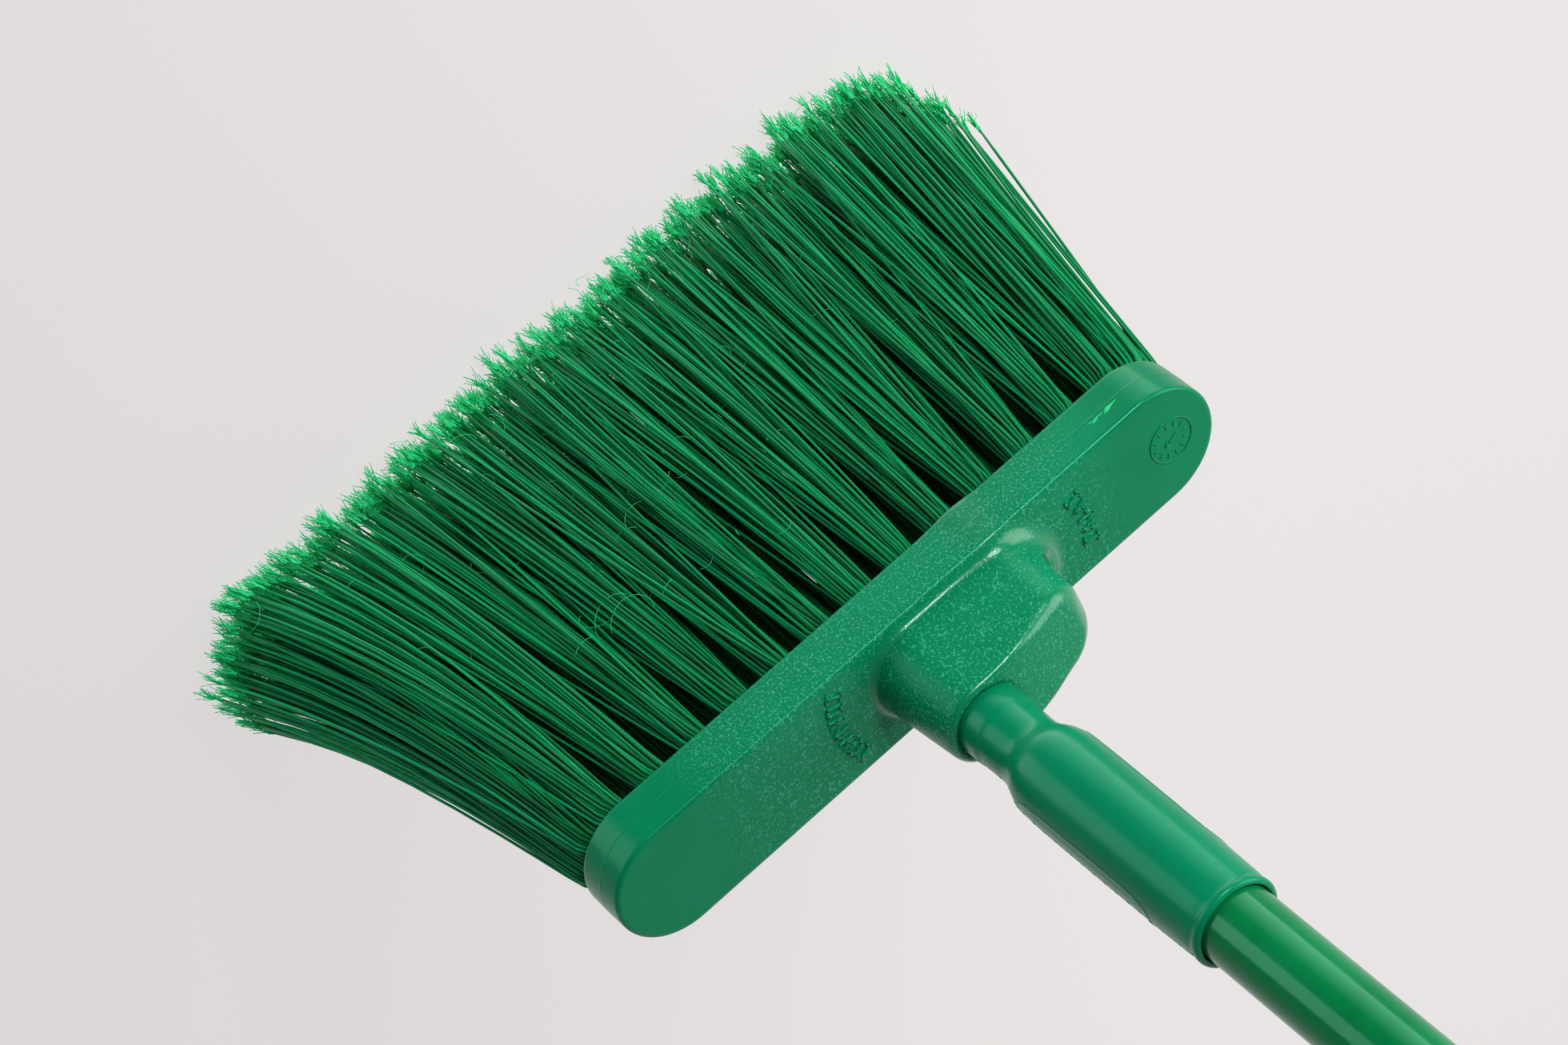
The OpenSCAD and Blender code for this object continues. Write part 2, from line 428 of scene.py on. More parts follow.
def make_block():
    """The block's moulding, with the polish of its edges as an attribute of its points."""
    step = 0.7 * MM
    block = field_mesh("head_block_moulding", block_field, block_low, block_high, step)
    points = np.empty(3 * len(block.data.vertices), np.float32)
    block.data.vertices.foreach_get("co", points)
    values = polish(*points.reshape(-1, 3).T.astype(float))
    block.data.attributes.new("polish", "FLOAT", "POINT").data.foreach_set(
        "value", values.astype(np.float32))
    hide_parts("head_block")
    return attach(block, "head")


# ---------------------------------------------------------------- raised marks on the block
def raised_stroke(a, b, width, height, foot):
    """Points and faces of one raised stroke with round ends, its sides sloping in to its top."""
    along = (b - a).normalized()
    heading = math.atan2(along.y, along.x)
    arc = 6  # steps round each end
    outline = []
    for centre, start in ((b, -math.pi / 2), (a, math.pi / 2)):
        for k in range(arc + 1):
            turn = heading + start + math.pi * k / arc
            outline.append((centre, math.cos(turn), math.sin(turn)))
    rows = [(width / 2, foot), (width / 2, foot + 0.6 * (height - foot)),
            (width / 2 - 0.12 * MM, height - 0.05 * MM), (width / 2 - 0.25 * MM, height)]
    points = [(c.x + r * u, c.y + r * v, slab_top + z) for r, z in rows for c, u, v in outline]
    n = len(outline)
    quads = strip_quads(len(rows), n)
    return np.array(points), quads, np.arange(n)[::-1], 3 * n + np.arange(n)


def marks_object(name, strokes):
    """One object from many raised strokes, sunk a little into the block."""
    sunk = -0.3 * MM
    points, loops, sizes, first = [], [], [], 0
    for a, b, width, height in strokes:
        p, quads, low, high = raised_stroke(a, b, width, height, sunk)
        points.append(p)
        loops += [quads.ravel() + first, low + first, high + first]
        sizes += [np.full(len(quads), 4), [len(low)], [len(high)]]
        first += len(p)
    made = link_mesh(name, np.concatenate(points), np.concatenate(loops), np.concatenate(sizes))
    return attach(made, "head")


def arc_marks(centre_x, radius, facing, glyphs):
    """Strokes of small marks set round an arc; each glyph is a list of (u, v, u, v) strokes."""
    width, height, spacing = 1.05 * MM, 0.65 * MM, 4.7 * MM
    strokes = []
    step = spacing / radius
    for k, glyph in enumerate(glyphs):
        turn = facing + (k - (len(glyphs) - 1) / 2) * step
        out = Vector((math.cos(turn), math.sin(turn)))
        side = Vector((-math.sin(turn), math.cos(turn)))
        for u0, v0, u1, v1 in glyph:
            a, b = ((radius + v * MM) * out + u * MM * side + Vector((centre_x, 0))
                    for u, v in ((u0, v0), (u1, v1)))
            strokes.append((a.to_3d(), b.to_3d(), width, height))
    return strokes


def stamp_strokes():
    """A dial: a ring of short strokes, twelve ticks inside it and an arrow."""
    centre = Vector((-98 * MM, 0, 0))
    ring_r, tick_in, tick_out = 7.6 * MM, 4.8 * MM, 6.2 * MM
    line, arrow_line, height = 0.6 * MM, 0.7 * MM, 0.32 * MM
    sides, ticks = 40, 12
    strokes = []
    for k in range(sides):
        a, b = (centre + ring_r * Vector((math.cos(t), math.sin(t), 0))
                for t in (2 * math.pi * k / sides, 2 * math.pi * (k + 1) / sides))
        strokes.append((a, b, line, height))
    for k in range(ticks):
        t = 2 * math.pi * k / ticks
        out = Vector((math.cos(t), math.sin(t), 0))
        strokes.append((centre + tick_in * out, centre + tick_out * out, line, height))
    for u0, v0, u1, v1 in ((-2.4, -1, 2.4, 1), (2.4, 1, 1, 1.5), (2.4, 1, 1.7, -0.4)):
        strokes.append((centre + Vector((u0, v0, 0)) * MM, centre + Vector((u1, v1, 0)) * MM,
                        arrow_line, height))
    return strokes


def make_marks():
    """Plain pictograms round both sockets, and the dial near the block's end."""
    rung = [(-1.3, -2.4, 1.3, -2.4), (-1.3, 2.4, 1.3, 2.4), (0, -2.4, 0, 2.4)]
    arrow = [(0, -2.4, 0, 2.4), (0, 2.4, -1.5, 0.6), (0, 2.4, 1.5, 0.6)]
    frame_mark = [(-1.3, -2.3, 1.3, -2.3), (1.3, -2.3, 1.3, 2.3), (1.3, 2.3, -1.3, 2.3),
                  (-1.3, 2.3, -1.3, -2.3)]
    tick = [(-1.4, 2.3, 0, -2.3), (0, -2.3, 1.4, 2.3), (-0.7, 0.2, 0.7, 0.2)]
    upright = arc_marks(0, 31 * MM, 0, [rung, frame_mark, tick, arrow, tick, frame_mark, rung])
    angled = arc_marks(-boss_span, 33 * MM, math.pi, [rung, tick, arrow, tick, rung])
    marks_object("upright_marks", upright)
    marks_object("angle_marks", angled)
    marks_object("stamp_ring", stamp_strokes())


# ---------------------------------------------------------------- small moulding faults
def fault_lines(ends, count, length, wander):
    """Short wandering centrelines near a place: ends is its two end points."""
    a, b = (np.array(end) for end in ends)
    share = rng.uniform(0, 1, (count, 1))
    start = a + (b - a) * share
    rings = np.linspace(0, 1, 6)[None, :, None]
    heading = (b - a) / np.linalg.norm(b - a) + rng.normal(0, wander, (count, 3))
    curl = rng.normal(0, wander, (count, 3))
    return start[:, None] + length * (heading[:, None] * rings + curl[:, None] * rings ** 2)


def make_faults():
    """The scuff on the front wall, and a shred of flash on the boss's rim."""
    wall, rim = -half_w + 0.1 * MM, 12.3 * MM
    scuff = fault_lines([(-92 * MM, wall, part_z + 1 * MM), (-82 * MM, wall, part_z + 2 * MM)],
                        count=9, length=3.4 * MM, wander=0.22)
    scuff[:, :, 1] = np.clip(scuff[:, :, 1], wall - 0.1 * MM, wall)
    shred = fault_lines([(rim, -1.5 * MM, seat_z), (rim, 0.5 * MM, seat_z)],
                        count=5, length=1.7 * MM, wander=0.6)
    shred[:, :, 2] = np.maximum(shred[:, :, 2], seat_z)
    for name, lines, radius in (("wall_scuff", scuff, 0.2 * MM), ("rim_flash", shred, 0.16 * MM)):
        radii = np.full(lines.shape[:2], radius)
        radii[:, (0, -1)] *= 0.3
        made = tubes(name, lines, radii, sides=6, shade=np.full(len(lines), 0.5))
        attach(made, "head")


# ---------------------------------------------------------------- handle
def sampled(profile, step):
    """The profile's rows with more between them, at most step apart."""
    rows = [profile[0]]
    for (r0, z0), (r1, z1) in zip(profile, profile[1:]):
        n = max(1, math.ceil(math.hypot(r1 - r0, z1 - z0) / step))
        rows += [(r0 + (r1 - r0) * k / n, z0 + (z1 - z0) * k / n) for k in range(1, n + 1)]
    return rows


def softened(rows, reach):
    """Rows with their corners eased over a few neighbours, their two ends kept."""
    rows = np.array(rows)
    kernel = np.hanning(2 * reach + 3)[1:-1]
    kernel /= kernel.sum()
    padded = np.pad(rows, ((reach, reach), (0, 0)), mode="edge")
    eased = np.stack([np.convolve(padded[:, k], kernel, "valid") for k in range(2)], -1)
    eased[0], eased[-1] = rows[0], rows[-1]
    return eased


def arc_rows(centre_r, centre_z, radius, start, end, count=6):
    """Rows along an arc between two angles in degrees, where 0 points away from the axis."""
    return [(centre_r + radius * math.cos(a), centre_z + radius * math.sin(a))
            for a in np.radians(np.linspace(start, end, count))]


def tip_shape(turn, r, z):
    """The spigot's thread, the collar's two oval pads and its parting lines."""
    facing_front = 0.07
    pad_middle, pad_half_width, pad_half_length = seat_z + 57 * MM, 6.2 * MM, 29 * MM
    rim_height, rim_width, inner_depth = 0.22 * MM, 0.045, 0.1 * MM
    line_width, line_height, nick_height = 0.24 * MM, 0.06 * MM, 0.2 * MM
    threaded = smoothstep(tip_low.z + 0.5 * MM, tip_low.z + 3 * MM, z) * (
        1 - smoothstep(seat_z - 3.4 * MM, seat_z - 1.6 * MM, z))
    on_spigot = (z < seat_z - 1 * MM) & (r > 6 * MM) & (r < male_crest)
    r = r + np.where(on_spigot, (male_crest - male_root) * threaded * thread_height(turn, z), 0)
    collar = (z > seat_z + 26 * MM) & (z < tip_high.z - 1.5 * MM) & (r > 13 * MM)
    for facing in (facing_front, facing_front + math.pi):
        off = np.mod(turn - facing + math.pi, 2 * math.pi) - math.pi
        across = off * r / pad_half_width
        lengthways = (z - pad_middle) / pad_half_length
        oval = (abs(across) ** 2.6 + abs(lengthways) ** 6) ** 0.3
        rim = np.exp(-((oval - 1) / rim_width) ** 2)
        inner = 1 - smoothstep(0.92, 1.0, oval)
        r = r + np.where(collar, rim_height * rim - inner_depth * inner, 0)
        line = np.exp(-(off * r / line_width) ** 2)
        nicks = np.maximum(np.sin(690 * z + facing) * np.sin(1930 * z), 0)
        r = r + np.where(z > seat_z + 1 * MM, (line_height + nick_height * nicks) * line, 0)
    return r


# radius and height above the seat, in mm, up the neck and the collar
neck_and_collar = ((11.4, 0.3), (11.45, 7.2), (11.05, 8.4), (11.0, 13), (10.95, 18.3), (11.5, 21),
                   (12.6, 23.6), (13.6, 26), (14.2, 28.6), (14.6, 32.4), (14.78, 37), (14.8, 46),
                   (14.68, 68), (14.5, 84), (14.2, 98))


def make_threaded_tip():
    """The tip from its threaded spigot up, then back down the bore that holds the tube."""
    s, top = seat_z, tip_high.z
    spigot = sampled([(male_root - 1.5 * MM, tip_low.z), (male_root, tip_low.z + 0.8 * MM),
                      (male_root, s - 1.2 * MM), (male_root + 0.4 * MM, s - 0.8 * MM)], 0.35 * MM)
    seat = [(10.8 * MM, s - 0.8 * MM)] + arc_rows(10.9 * MM, s - 0.3 * MM, 0.5 * MM, -90, 0, 5)
    body = [(r * MM, s + h * MM) for r, h in neck_and_collar]
    body += [(14.1 * MM, top - 5.4 * MM), (13.95 * MM, top - 3.6 * MM)]
    body = softened(sampled(body, 0.55 * MM), 3)
    lip = arc_rows(13.05 * MM, top - 1.7 * MM, 1.15 * MM, -45, 0, 4)
    lip += arc_rows(12.9 * MM, top - 1.3 * MM, 1.3 * MM, 8, 90, 7)
    lip += arc_rows(12.75 * MM, top - 0.4 * MM, 0.4 * MM, 100, 180, 4)
    bore_floor = tube_low.z - 0.1 * MM
    bore = [(12.05 * MM, top - 3 * MM), (12.0 * MM, bore_floor), (8 * MM, bore_floor)]
    rows = spigot + seat + [tuple(row) for row in body] + lip + bore
    tip = lathe("threaded_tip_moulding", rows, sides=192, shape=tip_shape)
    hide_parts("threaded_tip")
    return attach(tip, "handle")


def make_tube():
    """The tube with its rolled ends, as one closed wall."""
    low, high = tube_low.z, tube_high.z
    rings = np.linspace(low + 1 * MM, high - 1 * MM, 56)
    inner = tube_r - tube_wall
    rows = [(inner + 0.1 * MM, low), (tube_r - 0.2 * MM, low), (tube_r, low + 0.3 * MM)]
    rows += [(tube_r, z) for z in rings]
    rows += [(tube_r, high - 0.3 * MM), (tube_r - 0.2 * MM, high), (inner + 0.1 * MM, high)]
    rows += [(inner, z) for z in rings[::-1]]
    tube = lathe("handle_tube_coated", rows, sides=128, centre_ends=False)
    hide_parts("handle_tube")
    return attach(tube, "handle")


def cap_field(x, y, z):
    """The hanging cap: a domed sleeve with grip grooves and the hole through its top."""
    groove_pitch, groove_depth, dome_r, clearance = 4 * MM, 0.35 * MM, 7.5 * MM, 0.1 * MM
    r = np.hypot(x, y)
    grip = (z > cap_low.z + 4 * MM) & (z < tube_high.z - 2 * MM)
    groove = 0.5 + 0.5 * np.cos((z - cap_low.z) * 2 * math.pi / groove_pitch)
    wall = r - cap_high.x + np.where(grip, groove_depth * groove ** 4, 0)
    shape = both(wall, z - cap_high.z, dome_r)
    shape = both(shape, cap_low.z - z, 0.6 * MM)
    sleeve = both(r - tube_r - clearance, z - tube_high.z - clearance, 0.2 * MM)
    shape = both(shape, -sleeve, 0.3 * MM)
    hole = np.hypot(x, z - hang_hole["pos_m"][2]) - hang_hole["dims"]["r_mm"] * MM
    return both(shape, -hole, 1.1 * MM)


def make_cap():
    step = 0.6 * MM
    cap = field_mesh("hanging_cap_moulding", cap_field, cap_low, cap_high, step)
    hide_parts("hanging_cap")
    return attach(cap, "handle")


# ---------------------------------------------------------------- filaments
filament_r = 0.49 * MM
packing = 0.8 * MM
flag_length = 9.5 * MM
hair_r_root, hair_r_end = 0.27 * MM, 0.13 * MM
splay_within, bulge_within = 0.012, 0.008  # shares of the way down, just under the block
# shares of the way from the block to the filament's end at which a filament has points
filament_steps = (-0.04, 0, 0.012, 0.03, 0.08, 0.16, 0.27, 0.4, 0.53, 0.66, 0.79, 0.9, 1)


def packed_disc(radius):
    """Close-packed places inside a disc."""
    n = int(radius / packing) + 2
    rows = [(packing * (i + 0.5 * (j % 2)), packing * j * math.sqrt(3) / 2)
            for i in range(-n, n + 1) for j in range(-n, n + 1)]
    return np.array([p for p in rows if math.hypot(*p) <= radius])


def sweep_edge(x):
    """Height at which the filaments are cut, rising round both ends of the sweeping edge."""
    corner, corner_x = 36 * MM, -105 * MM
    past = np.clip(corner_x - x, 0, 0.99 * corner)
    round_end = corner - np.sqrt(corner ** 2 - past ** 2)
    flared_end = 1 * MM * np.exp(np.clip(x - 124 * MM, -40 * MM, 36 * MM) / (8.6 * MM))
    return round_end + flared_end


def fan_shift(root, t):
    """How far a tuft's middle has moved along X at share t of the way down: the +X end flares."""
    s = root[0] / (end_x + end_ring_r)
    splay = 1 - np.exp(-t / splay_within)
    right = s * (2 * splay + 15 * t) + s ** 2 * (22 + 4 * np.sign(root[1])) * t ** 3
    left = s * (1.5 * splay + 27 * t)
    return np.where(s > 0, right, left) * MM


def filament_lines(root):
    """Centrelines of one tuft's filaments, from inside its hole to their ends: (n, m, 3)."""
    places = packed_disc(tuft_r - 0.3 * MM)
    places = places + rng.normal(0, 0.08 * MM, places.shape)
    n = len(places)
    bulge_by, spread_x, spread_y = 0.6, 1.7, 0.8
    wave = rng.uniform(0, 2 * math.pi, 2)
    clump = np.stack([np.sin(places @ (900, 400) + wave[0]),
                      np.sin(places @ (300, -800) + wave[1])])[:, :, None]
    drift = np.clip(rng.normal(0, 1, (2, n, 1)), -1.8, 1.8) + 0.35 * clump
    bow = rng.normal(0, 1, (2, n, 1)) * 0.9 * MM + rng.normal(0, 1, (2, 1, 1)) * 0.6 * MM
    lean = lean_y * root[1] / row_gap * under_z
    drift_x, drift_y = drift[0] * 6 * MM, drift[1] * 2.8 * MM

    def across(t):
        """Where the filaments are along X and Y at share t of the way down."""
        arch = np.sin(math.pi * t)
        bulge = bulge_by * (1 - np.exp(-t / bulge_within))
        x = (root[0] + fan_shift(root, t) + places[:, :1] * (1 + bulge + spread_x * t)
             + bow[0] * arch + drift_x * t)
        y = (root[1] + lean * t * (1 - 0.6 * t) + places[:, 1:] * (1 + bulge + spread_y * t)
             + bow[1] * 0.7 * arch + drift_y * t)
        return x, y

    tuft_end = rng.normal(1.2 * MM, 1.3 * MM)
    own_end = rng.normal(0, 0.6 * MM, (n, 1))
    bottom = np.ones((n, 1))
    for _ in range(4):
        cut = np.maximum(sweep_edge(across(bottom)[0]) + tuft_end + own_end, 0.2 * MM)
        bottom = 1 - (cut + 0.8 * flag_length) / under_z
    steps = np.array(filament_steps)[None]
    x, y = across(np.maximum(steps, 0) * bottom)
    return np.stack([x, y, under_z * (1 - steps * bottom)], -1)


def flag_lines(lines, hairs):
    """The fine hairs that each filament's end splits into: they spray out and curl."""
    n, overlap, scatter = len(lines) * hairs, 1.5 * MM, 0.2 * MM
    end = np.repeat(lines[:, -1], hairs, 0)
    before = np.repeat(lines[:, -2], hairs, 0)
    heading = end - before
    heading /= np.linalg.norm(heading, axis=1, keepdims=True)
    rings = np.linspace(0, 1, 6)[None, :, None]
    length = flag_length * rng.uniform(0.84, 1.04, (n, 1, 1))
    fan = rng.normal(0, 1, (n, 1, 3)) * (0.12, 0.12, 0.02)
    curl = rng.normal(0, 1, (n, 1, 3)) * (0.08, 0.08, 0.03)
    wobble = rng.normal(0, 1, (n, 1, 3)) * (0.03, 0.03, 0.01)
    start = end - heading * overlap + rng.normal(0, scatter, (n, 3)) * (1, 1, 0)
    path = (start[:, None] + length * (heading[:, None] * rings + fan * rings ** 1.3
            + curl * rings ** 3 + wobble * np.sin(rings * 9)))
    path[:, :, 2] = np.maximum(path[:, :, 2], 0.12 * MM)
    return path


def make_filaments():
    """Each row's filaments, and the hairs that their ends split into."""
    hairs = 12
    for group, roots in tufts.items():
        stalks = np.concatenate([filament_lines(root) for root in roots])
        shade = np.clip(rng.normal(0.52, 0.28, len(stalks)), 0, 1)
        radii = np.full(stalks.shape[:2], filament_r) * rng.uniform(0.92, 1.08, (len(stalks), 1))
        radii[:, -1] *= 0.7
        filaments = tubes("filaments_" + group, stalks, radii, sides=6, shade=shade)
        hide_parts("tufts_" + group)
        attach(filaments, "head")
        flags = flag_lines(stalks, hairs)
        taper = np.linspace(hair_r_root, hair_r_end, flags.shape[1])[None]
        taper = np.repeat(taper, len(flags), 0) * rng.uniform(0.7, 1.2, (len(flags), 1))
        split = tubes("split_tips_" + group, flags, taper, sides=3, shade=np.repeat(shade, hairs))
        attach(split, "head")


def make_loose_hairs():
    """Stray curls caught in the ends, with a few along the filaments."""
    n, hair_r = 260, 0.1 * MM
    x = rng.uniform(-118 * MM, 140 * MM, n)
    near_tip = rng.random(n) < 0.85
    z = sweep_edge(x) + np.where(near_tip, rng.uniform(2, 22, n), rng.uniform(20, 130, n)) * MM
    y = np.where(near_tip, rng.uniform(-30, 24, n), rng.uniform(-22, -17, n)) * MM
    x = x * np.where(near_tip, 1, 0.8)
    size = rng.uniform(3, 8, (n, 1)) * MM
    bend = rng.uniform(0.5, 3.6, (n, 1))
    phase = rng.uniform(0, 2 * math.pi, (n, 1))
    a = phase + bend * np.linspace(0, 1, 10)[None]
    tilt = rng.uniform(-0.8, 0.8, (n, 1))
    path = np.stack([x[:, None] + size * np.cos(a), y[:, None] + size * tilt * np.sin(a + 1) * 0.6,
                     np.maximum(z[:, None] + size * np.sin(a), 0.3 * MM)], -1)
    radii = np.full(path.shape[:2], hair_r)
    loose = tubes("loose_hairs", path, radii, sides=3, shade=rng.uniform(0.3, 1, n))
    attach(loose, "head")


# ---------------------------------------------------------------- materials
class Material:
    """A node material with one Principled shader, and short calls for the nodes that feed it."""

    def __init__(self, name, **sockets):
        self.made = bpy.data.materials.new(name)
        self.made.use_nodes = True
        self.tree = self.made.node_tree
        self.shader = self.tree.nodes["Principled BSDF"]
        for key, value in sockets.items():
            self.shader.inputs[key.replace("_", " ")].default_value = value

    def node(self, kind, inputs=None, **settings):
        made = self.tree.nodes.new("ShaderNode" + kind)
        for key, value in settings.items():
            setattr(made, key, value)
        for key, value in (inputs or {}).items():
            if isinstance(value, bpy.types.NodeSocket):
                self.tree.links.new(value, made.inputs[key])
            else:
                made.inputs[key].default_value = value
        return made

    def position(self):
        return self.node("TexCoord").outputs["Object"]

    def noise(self, vector, scale, detail=2.0, roughness=0.5):
        return self.node("TexNoise", {"Vector": vector, "Scale": scale, "Detail": detail,
                                      "Roughness": roughness}).outputs["Fac"]

    def attribute(self, name):
        return self.node("Attribute", attribute_name=name).outputs["Fac"]

    def math(self, operation, a, b=0.0, clamp=False):
        return self.node("Math", {0: a, 1: b}, operation=operation, use_clamp=clamp).outputs[0]

    def ramp(self, value, low, high, to_low=0.0, to_high=1.0):
        return self.node("MapRange", {"Value": value, "From Min": low, "From Max": high,
                                      "To Min": to_low, "To Max": to_high},
                         interpolation_type="SMOOTHSTEP").outputs["Result"]

    def mix(self, share, a, b):
        made = self.node("Mix", data_type="RGBA")
        for key, value in ((0, share), (6, a), (7, b)):
            if isinstance(value, bpy.types.NodeSocket):
                self.tree.links.new(value, made.inputs[key])
            else:
                made.inputs[key].default_value = value
        return made.outputs[2]

    def bump(self, height, distance, strength=1.0, under=None):
        made = self.node("Bump", {"Height": height, "Distance": distance, "Strength": strength})
        if under is not None:
            self.tree.links.new(under, made.inputs["Normal"])
        return made.outputs["Normal"]

    def feed(self, **links):
        for key, socket in links.items():
            self.tree.links.new(socket, self.shader.inputs[key.replace("_", " ")])
        return self.made


def tone(r, g, b):
    """An opaque colour, in linear light."""
    return (r, g, b, 1.0)


def block_material():
    """Moulded plastic, its spark-eroded grain fading out towards both ends, its edges polished,
    with painted glints as lighter flecks in the grain's colour.
    """
    grained_within, smooth_beyond = 56 * MM, 84 * MM
    m = Material("block_plastic", IOR=1.49, Specular_IOR_Level=0.3,
                 Specular_Tint=tone(0.1, 1, 0.55), Coat_Roughness=0.19)
    place = m.position()
    axes = m.node("SeparateXYZ", {"Vector": place}).outputs
    polished = m.attribute("polish")
    middle = m.ramp(m.math("ABSOLUTE", axes["X"]), grained_within, smooth_beyond, 1, 0)
    grained = m.math("MULTIPLY", middle, m.ramp(polished, 0, 1, 1, 0.25))
    from_parting = m.math("ABSOLUTE", m.math("SUBTRACT", axes["Z"], part_z))
    parting = m.ramp(from_parting, 0, 0.35 * MM, 1, 0)
    fine = m.noise(place, 1300, 2, 0.6)
    flecks = m.ramp(m.noise(place, 1150, 1.5, 0.55), 0.53, 0.66)
    patch = m.noise(place, 30, 3, 0.5)
    base = m.mix(m.ramp(patch, 0.3, 0.7), tone(0.0005, 0.245, 0.099), tone(0.0005, 0.28, 0.117))
    # painted glints: where the grain is, lighter flecks are mixed into the colour
    painted_glint_share = m.math("MULTIPLY", m.math("MULTIPLY", flecks, grained), 0.6)
    colour = m.mix(painted_glint_share, base, tone(0.07, 0.56, 0.34))
    smooth_rough = m.ramp(patch, 0.3, 0.7, 0.26, 0.32)
    grain_rough = m.ramp(fine, 0.3, 0.7, 0.28, 0.42)
    rough = m.node("Mix", data_type="FLOAT")
    for key, socket in ((0, grained), (2, smooth_rough), (3, grain_rough)):
        m.tree.links.new(socket, rough.inputs[key])
    grain = m.math("MULTIPLY", m.math("ADD", fine, flecks), grained)
    waves = m.bump(m.noise(place, 60, 2), 0.25 * MM, 0.25)
    seam = m.bump(parting, 0.12 * MM, 0.7, waves)
    normal = m.bump(grain, 0.12 * MM, 0.8, seam)
    return m.feed(Base_Color=colour, Roughness=rough.outputs[0], Normal=normal, Coat_Normal=normal,
                  Coat_Weight=m.ramp(polished, 0, 1, 0.1, 1))


def tip_material():
    """Smooth semi-gloss moulded plastic with faint flow marks."""
    m = Material("tip_plastic", IOR=1.49, Specular_IOR_Level=0.4,
                 Specular_Tint=tone(0.3, 1, 0.7))
    place = m.position()
    drawn = m.node("Mapping", {"Vector": place, "Scale": (1, 1, 0.25)}).outputs["Vector"]
    flow = m.noise(drawn, 60, 3)
    speck = m.noise(place, 900, 2)
    colour = m.mix(m.ramp(flow, 0.3, 0.7), tone(0.001, 0.25, 0.11), tone(0.001, 0.29, 0.13))
    rough = m.ramp(m.noise(place, 180, 3), 0.3, 0.7, 0.22, 0.27)
    waves = m.bump(flow, 0.3 * MM, 0.12)
    normal = m.bump(speck, 0.02 * MM, 0.25, waves)
    return m.feed(Base_Color=colour, Roughness=rough, Normal=normal)


def paint_material():
    """Gloss coating with a fine orange peel."""
    m = Material("tube_paint", IOR=1.5, Specular_IOR_Level=0.6,
                 Specular_Tint=tone(0.35, 1, 0.75))
    place = m.position()
    peel = m.noise(place, 620, 2, 0.5)
    broad = m.noise(place, 45, 2)
    colour = m.mix(m.ramp(broad, 0.3, 0.7), tone(0.001, 0.2, 0.055), tone(0.001, 0.24, 0.07))
    rough = m.ramp(m.noise(place, 250, 3), 0.3, 0.7, 0.14, 0.2)
    normal = m.bump(peel, 0.05 * MM, 0.4, m.bump(broad, 0.3 * MM, 0.08))
    return m.feed(Base_Color=colour, Roughness=rough, Normal=normal)


def filament_material(name, dark, light, rough_low, rough_high):
    """Satin drawn plastic, each filament a little different, with painted shade making it darker at
    its root and lighter toward its end.
    """
    m = Material(name, IOR=1.49, Specular_IOR_Level=0.45, Specular_Tint=tone(0.05, 1, 0.5))
    place = m.position()
    streak = m.noise(place, 110, 2)
    waver = m.noise(place, 260, 2)
    share = m.math("ADD", m.math("MULTIPLY", m.attribute("tint"), 0.8),
                   m.math("MULTIPLY", streak, 0.2))
    # painted shade: the colour darkens toward the root and lightens toward the end, along reach
    reach = m.ramp(m.attribute("reach"), 0.0, 1.0, -0.12, 0.12)
    colour = m.mix(m.math("ADD", share, reach, clamp=True), dark, light)
    rough = m.ramp(streak, 0.3, 0.7, rough_low, rough_high)
    return m.feed(Base_Color=colour, Roughness=rough, Normal=m.bump(waver, 0.15 * MM, 0.3))


def steel_material(name, rough_low, rough_high, level):
    """Drawn steel of the given brightness, with fine scratches along it."""
    m = Material(name, Metallic=1.0)
    place = m.position()
    drawn = m.node("Mapping", {"Vector": place, "Scale": (0.05, 1, 1)}).outputs["Vector"]
    scratch = m.noise(drawn, 3000, 3)
    colour = m.mix(m.ramp(m.noise(place, 400, 2), 0.3, 0.7), tone(level, level, level * 1.02),
                   tone(level * 0.8, level * 0.81, level * 0.83))
    rough = m.ramp(scratch, 0.3, 0.7, rough_low, rough_high)
    return m.feed(Base_Color=colour, Roughness=rough, Normal=m.bump(scratch, 0.03 * MM, 0.3))


def dress_all():
    """Gives every visible piece its material."""
    block, tip, paint = block_material(), tip_material(), paint_material()
    stalk = filament_material("filament", tone(0.0005, 0.085, 0.02), tone(0.0005, 0.455, 0.145),
                              0.26, 0.36)
    split = filament_material("split_tips", tone(0.008, 0.7, 0.215), tone(0.07, 0.93, 0.38),
                              0.45, 0.6)
    staple = steel_material("staple_wire", 0.25, 0.4, 0.62)
    core = steel_material("core_steel", 0.2, 0.35, 0.56)
    chosen = {"head_block_moulding": block, "upright_marks": block, "angle_marks": block,
              "stamp_ring": block, "wall_scuff": split, "rim_flash": block,
              "threaded_tip_moulding": tip, "hanging_cap_moulding": tip,
              "handle_tube_coated": paint, "loose_hairs": split, "tip_core": core}
    for name in tufts:
        chosen["filaments_" + name] = stalk
        chosen["split_tips_" + name] = split
        chosen["staples_" + name] = staple
    for name, material in chosen.items():
        materials = bpy.data.objects[name].data.materials
        materials.clear()
        materials.append(material)


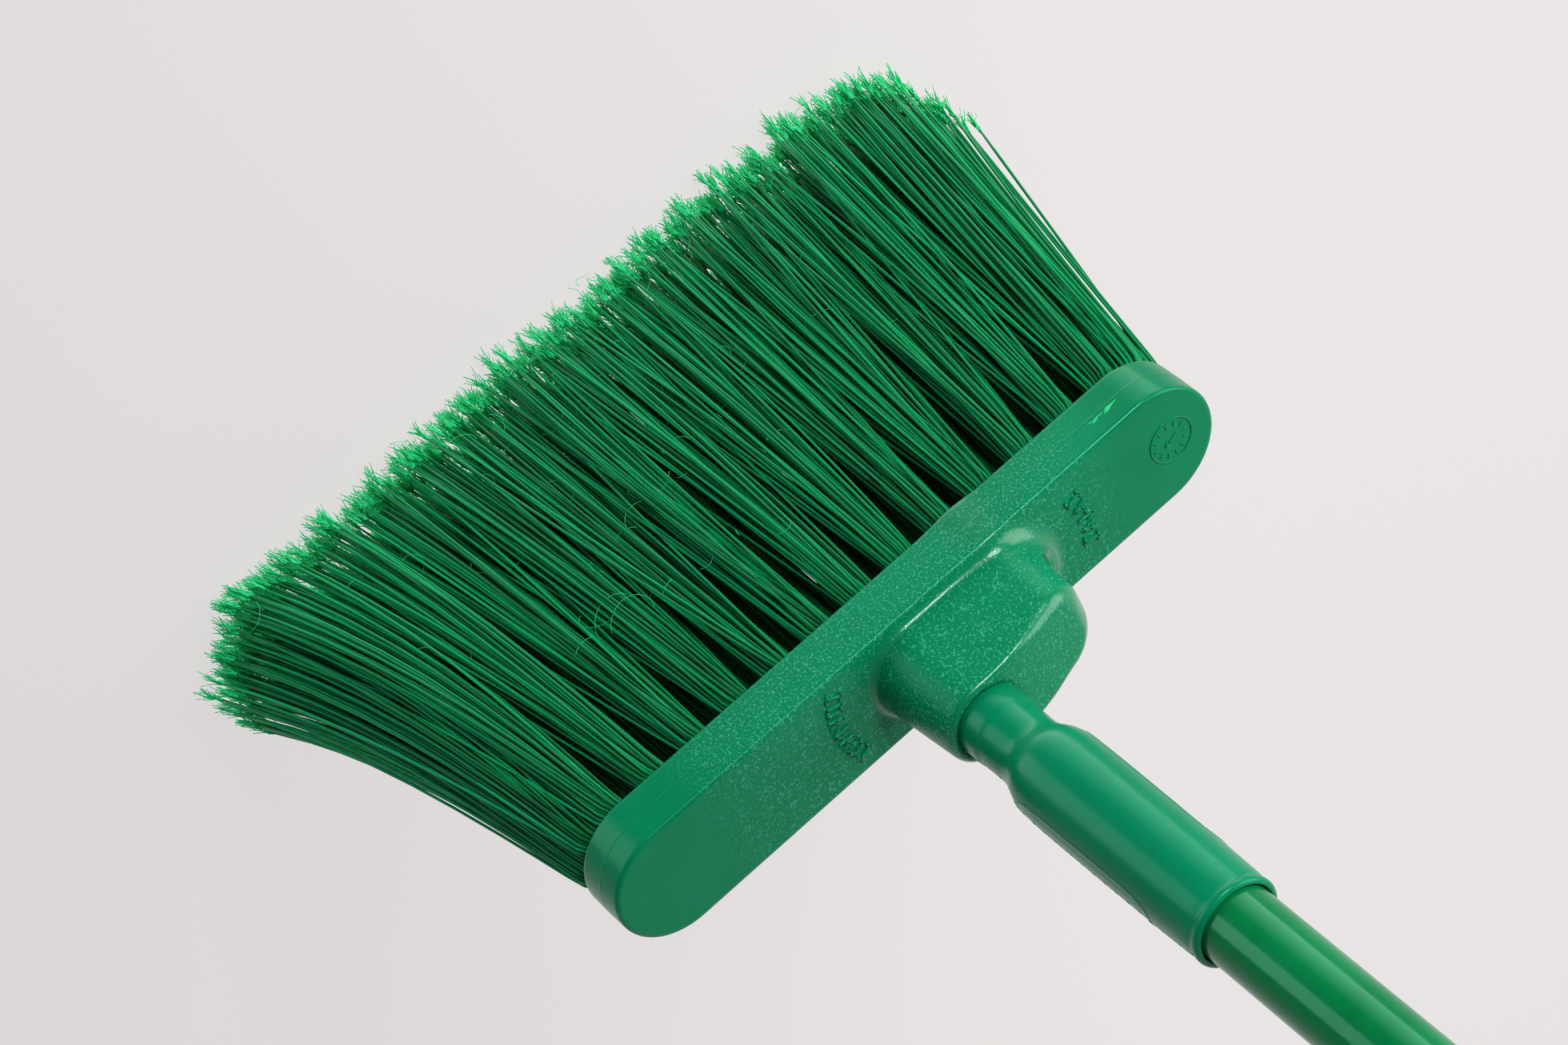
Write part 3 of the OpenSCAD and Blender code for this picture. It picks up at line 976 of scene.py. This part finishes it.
# ---------------------------------------------------------------- floor, light
def make_floor():
    """A pale floor that glows by itself, so it shows only faint shadows and lets soft light by; its
    glow is painted light, brighter toward one side and faintly blotched.
    """
    size = 40.0  # half its width
    mesh = bpy.data.meshes.new("floor")
    mesh.from_pydata([(x * size, y * size, 0) for x, y in ((-1, -1), (1, -1), (1, 1), (-1, 1))],
                     [], [(0, 1, 2, 3)])
    floor = bpy.data.objects.new("floor", mesh)
    bpy.context.scene.collection.objects.link(floor)
    m = Material("floor", Roughness=1.0, Specular_IOR_Level=0.0, Emission_Strength=0.9,
                 Base_Color=tone(0.1, 0.097, 0.096))
    # painted light: the floor's glow is brighter toward one side, with faint blotches
    painted_light_toward = (-0.9, 0.42, 0)
    across = m.node("VectorMath", {0: m.position(), 1: painted_light_toward}, operation="DOT_PRODUCT")
    blotch = m.math("MULTIPLY", m.noise(m.position(), 1.2, 1), 0.1)
    share = m.math("ADD", across.outputs["Value"], blotch)
    glow = m.mix(m.ramp(share, -0.25, 0.35), tone(0.725, 0.7, 0.695), tone(0.83, 0.805, 0.8))
    m.feed(Emission_Color=glow)
    mesh.materials.append(m.made)
    floor.visible_glossy = False
    floor.visible_diffuse = False
    floor.visible_shadow = False


def soft_light(name, toward, distance, width, height, power, fade=None):
    """A soft box seen from the broom's head in the given direction, fading across if asked."""
    head_middle = Vector((0, 0, 0.2))
    data = bpy.data.lights.new(name, "AREA")
    data.shape = "RECTANGLE"
    data.size, data.size_y, data.energy = width, height, power
    if fade:
        data.use_nodes = True
        nodes, links = data.node_tree.nodes, data.node_tree.links
        place = nodes.new("ShaderNodeSeparateXYZ")
        links.new(nodes.new("ShaderNodeNewGeometry").outputs["Parametric"], place.inputs[0])
        level = nodes.new("ShaderNodeMapRange")
        level.inputs["To Min"].default_value, level.inputs["To Max"].default_value = fade
        links.new(place.outputs["X"], level.inputs["Value"])
        links.new(level.outputs["Result"], nodes["Emission"].inputs["Strength"])
    light = bpy.data.objects.new(name, data)
    bpy.context.scene.collection.objects.link(light)
    toward = Vector(toward).normalized()
    light.location = head_middle + distance * toward
    light.rotation_mode = "QUATERNION"
    light.rotation_quaternion = toward.to_track_quat("Z", "Y")
    light.visible_camera = False


def make_world():
    """Soft surroundings, brighter behind and under the broom than in front of it."""
    world = bpy.data.worlds.new("studio")
    bpy.context.scene.world = world
    world.use_nodes = True
    tree = world.node_tree
    back = tree.nodes["Background"]
    place = tree.nodes.new("ShaderNodeTexCoord")
    facing = tree.nodes.new("ShaderNodeVectorMath")
    facing.operation = "DOT_PRODUCT"
    facing.inputs[1].default_value = Vector((-0.1, 0.9, -0.4)).normalized()
    tree.links.new(place.outputs["Generated"], facing.inputs[0])
    level = tree.nodes.new("ShaderNodeMapRange")
    level.interpolation_type = "SMOOTHSTEP"
    for key, value in (("From Min", -0.3), ("From Max", 0.9), ("To Min", 0.08), ("To Max", 0.7)):
        level.inputs[key].default_value = value
    tree.links.new(facing.outputs["Value"], level.inputs["Value"])
    tree.links.new(level.outputs["Result"], back.inputs["Strength"])
    back.inputs["Color"].default_value = (1.0, 0.985, 0.98, 1)


def make_lights():
    """Two soft boxes low in front, one high at the side, and a small one for the highlights."""
    soft_light("key", (-0.51, -0.55, -0.66), 1.2, 1.05, 1.5, 7.2, fade=(1.9, 0.1))
    soft_light("strip", (0.53, -0.53, -0.66), 1.3, 0.75, 1.0, 4.2)
    soft_light("side", (-0.8, -0.1, 0.6), 1.3, 1.0, 1.0, 10)
    soft_light("spark", (-0.3, -0.8, 0.5), 1.3, 0.42, 0.42, 9.5)


# ---------------------------------------------------------------- the whole scene
make_block()
make_marks()
make_faults()
make_threaded_tip()
make_tube()
make_cap()
make_filaments()
make_loose_hairs()
dress_all()
make_floor()
make_world()
make_lights()
bpy.context.scene.view_settings.view_transform = "Standard"
